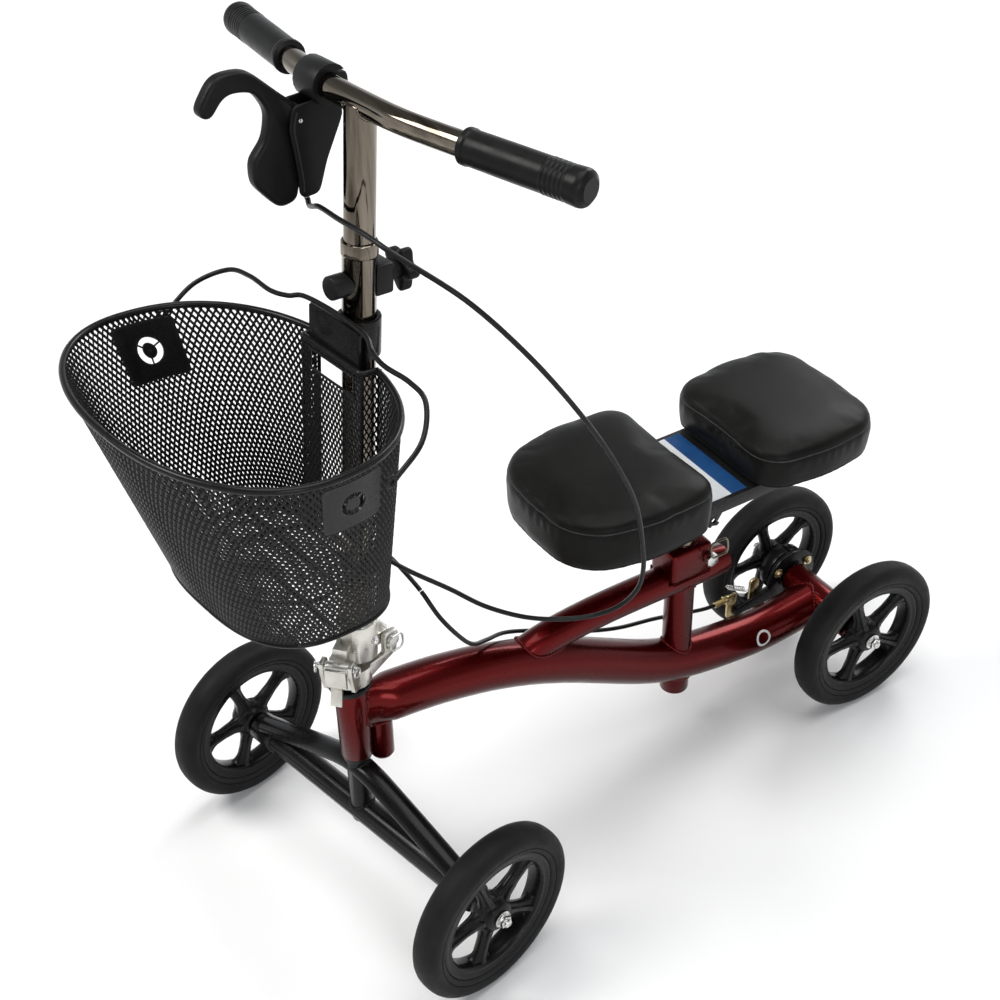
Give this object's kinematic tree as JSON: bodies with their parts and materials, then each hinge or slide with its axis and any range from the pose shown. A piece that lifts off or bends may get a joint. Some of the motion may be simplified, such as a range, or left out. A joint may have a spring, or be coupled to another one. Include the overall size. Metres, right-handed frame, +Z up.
{
  "type": "knee scooter",
  "caption": "Steerable four-wheeled knee scooter: padded knee rests on a swept tube frame, folding tiller with handlebar, brake lever and wire basket.",
  "frame": {"origin": "on the floor, below the centre of the whole object's bounding box", "axes": "+Z up, -Y forward as ridden, +X to the rider's left; the front end is stored turned 12.6 degrees to the left"},
  "size_m": [0.4955, 0.963, 0.9368],
  "materials": {
    "red_paint": "gloss metallic dark red paint",
    "black_paint": "semi-gloss black powder coat",
    "chrome": "polished",
    "cast_metal": "bright cast",
    "steel": "plated",
    "zinc": "yellow zinc plated",
    "black_plastic": "moulded, fine texture",
    "wheel_plastic": "moulded, semi-gloss",
    "tyre_rubber": "matt",
    "grip_rubber": "matt, ribbed",
    "pad_vinyl": "soft-gloss vinyl cover over foam"
  },
  "bodies": {
    "frame": {"main_frame": "red_paint", "headset_lower_cup": "steel", "headset_upper_cup": "black_plastic", "seat_lock_bolt": "steel", "rear_axle": "steel", "rear_axle_nut_left": "steel", "rear_axle_nut_right": "steel", "brake_backing_plate": "black_paint", "brake_band": "steel", "brake_arm_bolt": "steel", "cable_adjuster": "zinc", "brake_spring": "steel", "brake_cable_lower": "black_plastic"},
    "steering": {"front_fork": "black_paint", "headset_cap": "black_plastic", "fold_clamp_base": "cast_metal", "fold_pin": "steel", "latch_pin": "steel", "front_axle": "steel", "front_axle_nut_left": "steel", "front_axle_nut_right": "steel"},
    "tiller": {"fold_clamp_top": "cast_metal", "stem_tube": "chrome", "knob_saddle": "black_plastic", "knob_front_cap": "black_plastic", "basket_bracket": "black_paint", "cable_clip": "black_plastic", "brake_cable_middle": "black_plastic"},
    "fold_lever": {"fold_lever": "cast_metal"},
    "height_knob": {"height_knob": "black_plastic"},
    "handlebar": {"handlebar": "chrome", "grip_left": "grip_rubber", "grip_right": "grip_rubber", "lever_housing": "black_plastic", "lever_pin": "steel", "cable_ferrule": "steel", "brake_cable_upper": "black_plastic"},
    "brake_lever": {"brake_lever": "black_plastic"},
    "brake_arm": {"brake_arm": "zinc"},
    "basket": {"basket": "black_paint", "basket_hook": "black_paint"},
    "bail": {"basket_bail": "black_paint"},
    "seat": {"seat_post": "chrome", "seat_platform": "black_paint", "front_pad_board": "black_plastic", "rear_pad_board": "black_plastic", "front_knee_pad": "pad_vinyl", "rear_knee_pad": "pad_vinyl"},
    "wheel_rear_left": {"rim_rear_left": "wheel_plastic", "tyre_rear_left": "tyre_rubber"},
    "wheel_rear_right": {"rim_rear_right": "wheel_plastic", "tyre_rear_right": "tyre_rubber", "brake_drum": "black_plastic"},
    "wheel_front_left": {"rim_front_left": "wheel_plastic", "tyre_front_left": "tyre_rubber"},
    "wheel_front_right": {"rim_front_right": "wheel_plastic", "tyre_front_right": "tyre_rubber"}
  },
  "joints": [
    {"name": "steer", "type": "hinge", "parent": "frame", "child": "steering", "pos_m": [0.0156, -0.2693, 0.23], "axis": [0, 0, 1], "range_deg": [-52.6, 27.4], "deforming": ["brake_cable_lower"]},
    {"name": "tiller_fold", "type": "hinge", "parent": "steering", "child": "tiller", "pos_m": [0.00578, -0.22538, 0.335], "axis": [-0.9759, -0.2181, 0], "range_deg": [0, 50], "deforming": ["brake_cable_middle"]},
    {"name": "fold_lever_turn", "type": "hinge", "parent": "steering", "child": "fold_lever", "pos_m": [0.03667, -0.29066, 0.34], "axis": [-0.712, -0.7022, 0], "range_deg": [0, 100]},
    {"name": "knob_turn", "type": "hinge", "parent": "tiller", "child": "height_knob", "pos_m": [0.00323, -0.21397, 0.7448], "axis": [-0.138, 0.9851, -0.1028], "continuous": true},
    {"name": "bar_height", "type": "slide", "parent": "tiller", "child": "handlebar", "axis": [-0.0225, 0.1007, 0.9947], "range_m": [-0.05, 0.1], "deforming": ["brake_cable_upper"]},
    {"name": "brake_lever_pull", "type": "hinge", "parent": "handlebar", "child": "brake_lever", "pos_m": [-0.05762, -0.23458, 0.88194], "axis": [-0.9902, -0.1396, -0.0083], "range_deg": [0, 18], "stiffness_Nm_per_rad": 1.5, "springref_deg": -8.59},
    {"name": "brake_arm_pull", "type": "hinge", "parent": "frame", "child": "brake_arm", "pos_m": [-0.0364, 0.3239, 0.0866], "axis": [1, 0, 0], "range_deg": [0, 9]},
    {"name": "basket_lift_off", "type": "slide", "parent": "tiller", "child": "basket", "axis": [0.138, -0.9851, 0.1028], "range_m": [0, 0.06]},
    {"name": "bail_swing", "type": "hinge", "parent": "basket", "child": "bail", "pos_m": [0.0181, -0.31523, 0.67375], "axis": [0.9902, 0.1396, 0.0083], "range_deg": [0, 95]},
    {"name": "seat_height", "type": "slide", "parent": "frame", "child": "seat", "axis": [0, 0, -1], "range_m": [-0.09, 0.04]},
    {"name": "roll_rear_left", "type": "hinge", "parent": "frame", "child": "wheel_rear_left", "pos_m": [0.1056, 0.3799, 0.1016], "axis": [1, 0, 0], "continuous": true},
    {"name": "roll_rear_right", "type": "hinge", "parent": "frame", "child": "wheel_rear_right", "pos_m": [-0.0744, 0.3799, 0.1016], "axis": [1, 0, 0], "continuous": true},
    {"name": "roll_front_left", "type": "hinge", "parent": "steering", "child": "wheel_front_left", "pos_m": [0.21225, -0.22534, 0.1016], "axis": [0.9759, 0.2181, 0], "continuous": true},
    {"name": "roll_front_right", "type": "hinge", "parent": "steering", "child": "wheel_front_right", "pos_m": [-0.18105, -0.31326, 0.1016], "axis": [0.9759, 0.2181, 0], "continuous": true}
  ],
  "couplings": [
    {"joint": "brake_arm_pull", "follows": "brake_lever_pull", "ratio": 0.45}
  ]
}
